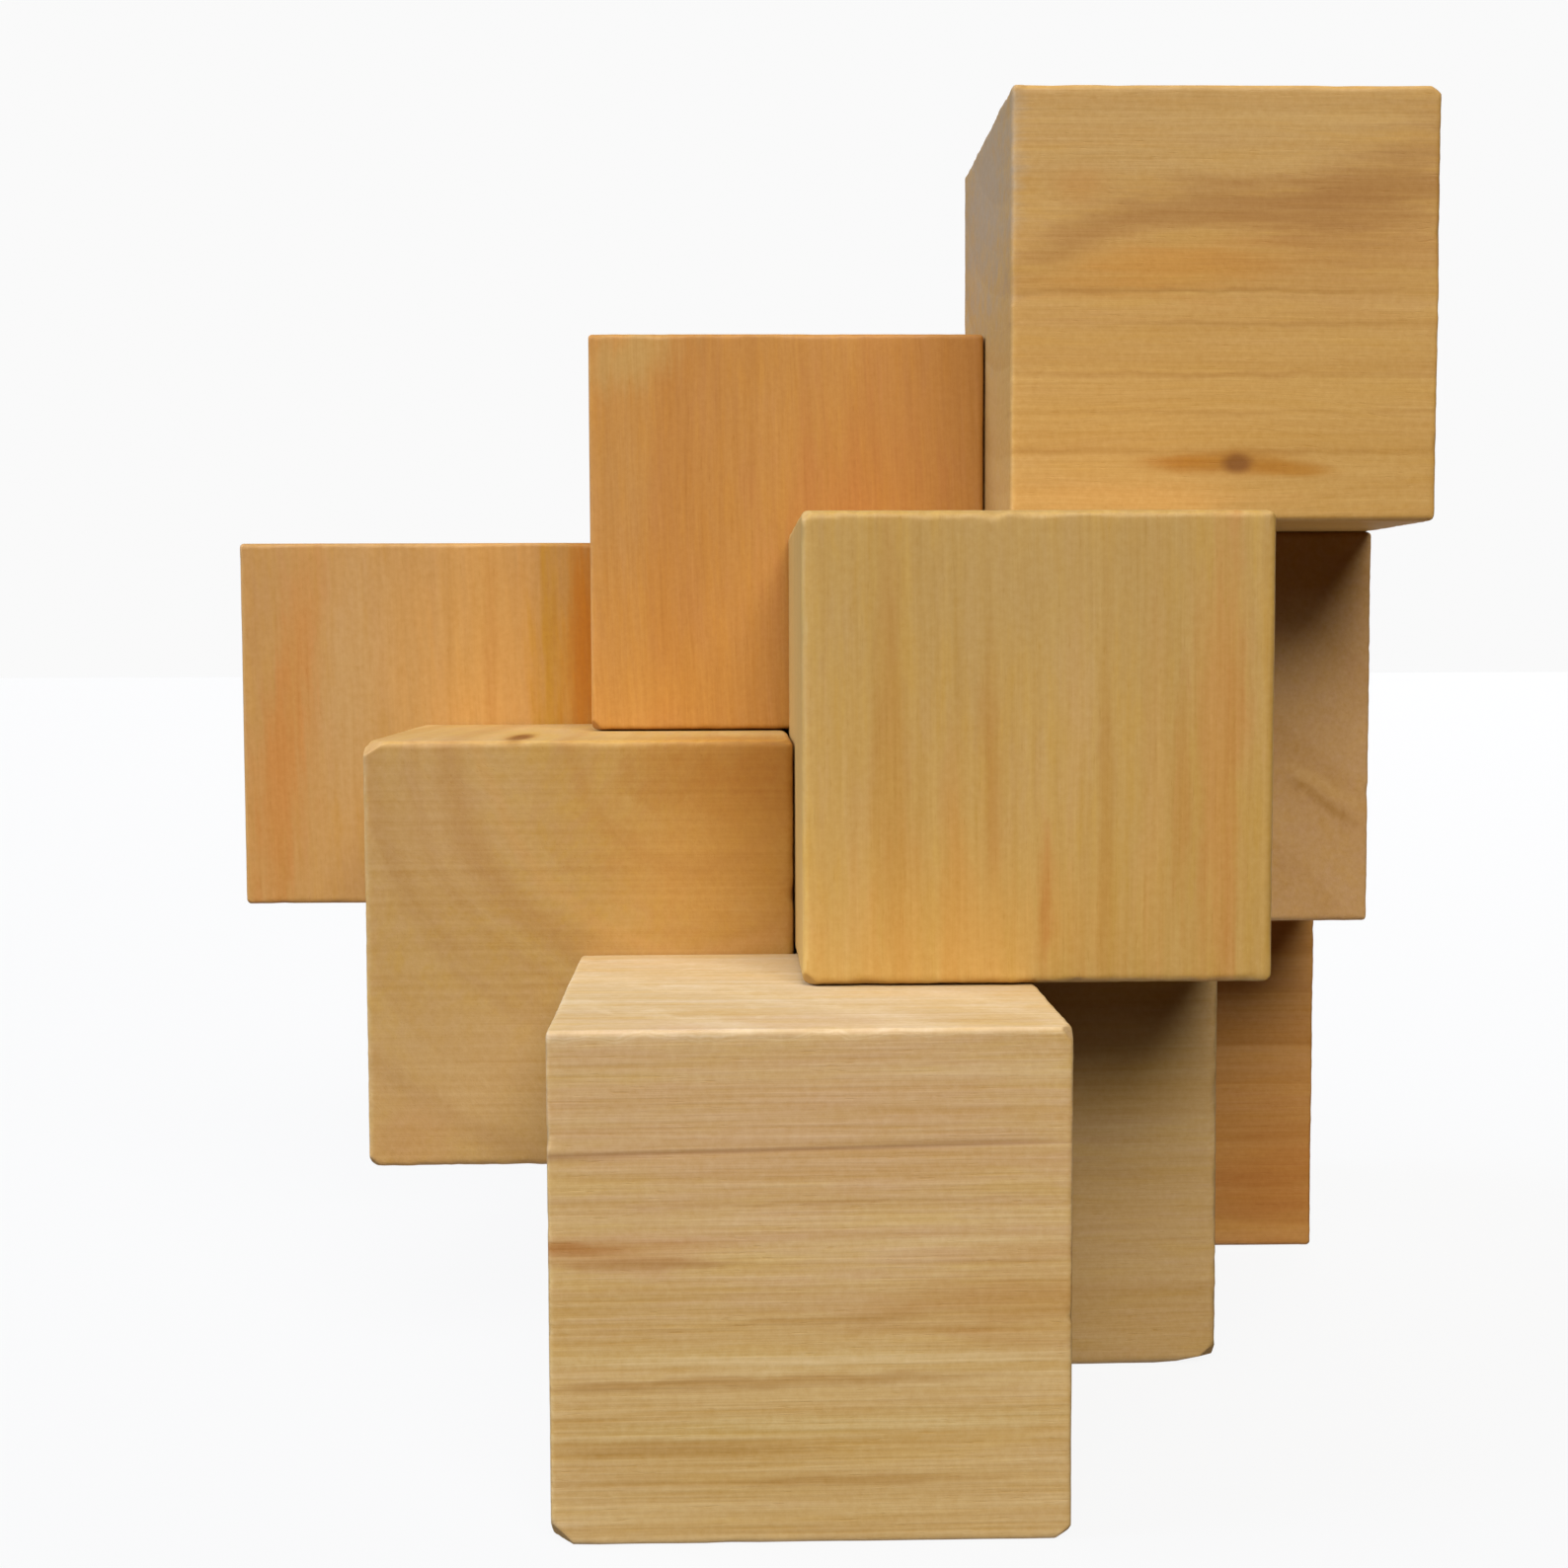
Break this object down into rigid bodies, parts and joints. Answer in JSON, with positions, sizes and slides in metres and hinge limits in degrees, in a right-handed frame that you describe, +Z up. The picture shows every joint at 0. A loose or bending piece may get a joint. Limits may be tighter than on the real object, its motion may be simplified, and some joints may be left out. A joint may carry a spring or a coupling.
{
  "type": "interlocking wooden block puzzle",
  "caption": "Take-apart wooden puzzle: equal cubes, each shifted by half a cube, glued into three pieces that slide out of each other to free the pile.",
  "frame": {"origin": "centre of the bounding box on the plane the puzzle stands on", "axes": "+Z up; -Y is the front, where the lowest front block is; +X is right, the way the key piece slides out"},
  "size_m": [0.0896, 0.0896, 0.0896],
  "materials": {
    "pale_wood": "bare sawn and lightly sanded pale hardwood, matt",
    "tan_wood": "bare sanded tan hardwood, matt",
    "orange_wood": "bare sanded orange-brown hardwood, matt",
    "grey_wood": "bare sanded grey-brown hardwood, matt",
    "dowel_wood": "plain birch dowel, matt"
  },
  "bodies": {
    "stand": {"stand_front_block": "pale_wood", "stand_left_block": "tan_wood", "stand_rear_block": "tan_wood", "stand_right_block": "orange_wood", "stand_dowel_1": "dowel_wood", "stand_dowel_2": "dowel_wood", "stand_dowel_3": "dowel_wood"},
    "bridge": {"bridge_centre_block": "tan_wood", "bridge_upper_block": "orange_wood", "bridge_left_block": "orange_wood", "bridge_dowel_1": "dowel_wood", "bridge_dowel_2": "dowel_wood"},
    "key": {"key_top_block": "tan_wood", "key_middle_block": "grey_wood", "key_bottom_block": "grey_wood", "key_dowel_1": "dowel_wood", "key_dowel_2": "dowel_wood"}
  },
  "joints": [
    {"name": "bridge_lift", "type": "slide", "parent": "stand", "child": "bridge", "axis": [0, 0, 1], "range_m": [0, 0.06]},
    {"name": "key_slide", "type": "slide", "parent": "bridge", "child": "key", "axis": [1, 0, 0], "range_m": [0, 0.06]}
  ]
}
